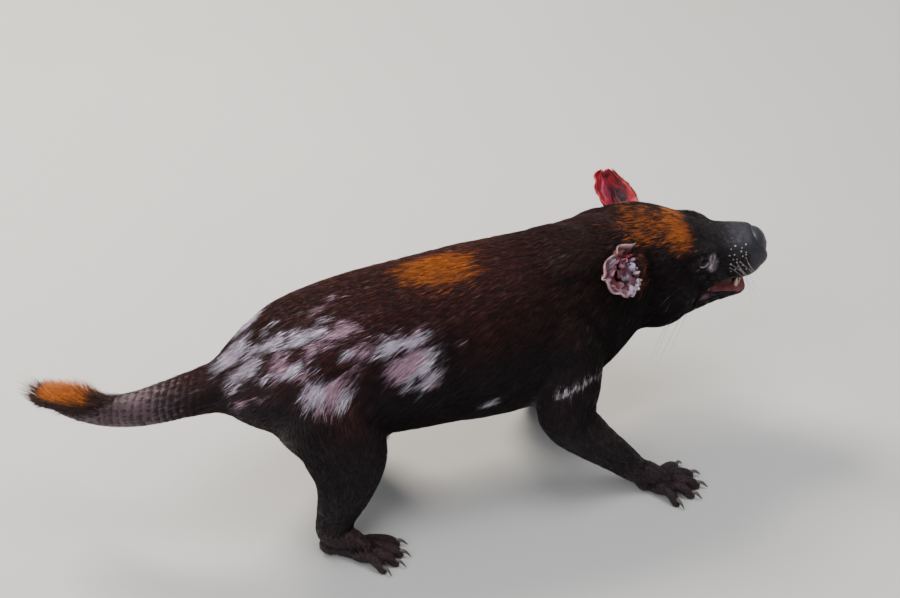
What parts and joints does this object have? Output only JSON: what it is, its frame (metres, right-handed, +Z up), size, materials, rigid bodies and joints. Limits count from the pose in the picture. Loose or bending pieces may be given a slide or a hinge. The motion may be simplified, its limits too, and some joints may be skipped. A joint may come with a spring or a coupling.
{
  "type": "tasmanian devil",
  "caption": "Stocky marsupial model braced on four clawed feet, head twisted and mouth half open, with rounded ears and a tapering tail that ends in a brush",
  "frame": {"origin": "on the floor, under the middle of the animal's box", "axes": "+X from the rump to the nose, +Y to the animal's left, +Z up"},
  "size_m": [0.7944, 0.278, 0.2799],
  "materials": {
    "coat": "dense coarse short fur, near black with white and rufous patches",
    "tail_brush": "sparse bristly hair with a rufous brush",
    "foot_skin": "bare wrinkled skin with horn claws",
    "ear_skin": "thin bare skin, crumpled at the rim",
    "nose": "moist pebbled skin",
    "eye": "clear and wet",
    "tongue": "moist and soft",
    "tooth": "smooth ivory enamel",
    "claw": "dull horn"
  },
  "bodies": {
    "root": {"torso": "coat", "neck": "coat", "head": "coat", "jaw": "coat", "tongue": "tongue", "eye_right": "eye", "eye_left": "eye", "ear_right": "ear_skin", "ear_left": "ear_skin", "foreleg_right": "coat", "foreleg_left": "coat", "hindleg_right": "coat", "hindleg_left": "coat", "forefoot_right": "foot_skin", "forefoot_left": "foot_skin", "hindfoot_right": "foot_skin", "hindfoot_left": "foot_skin", "tail_root": "coat", "tail_tip": "tail_brush"}
  },
  "joints": []
}
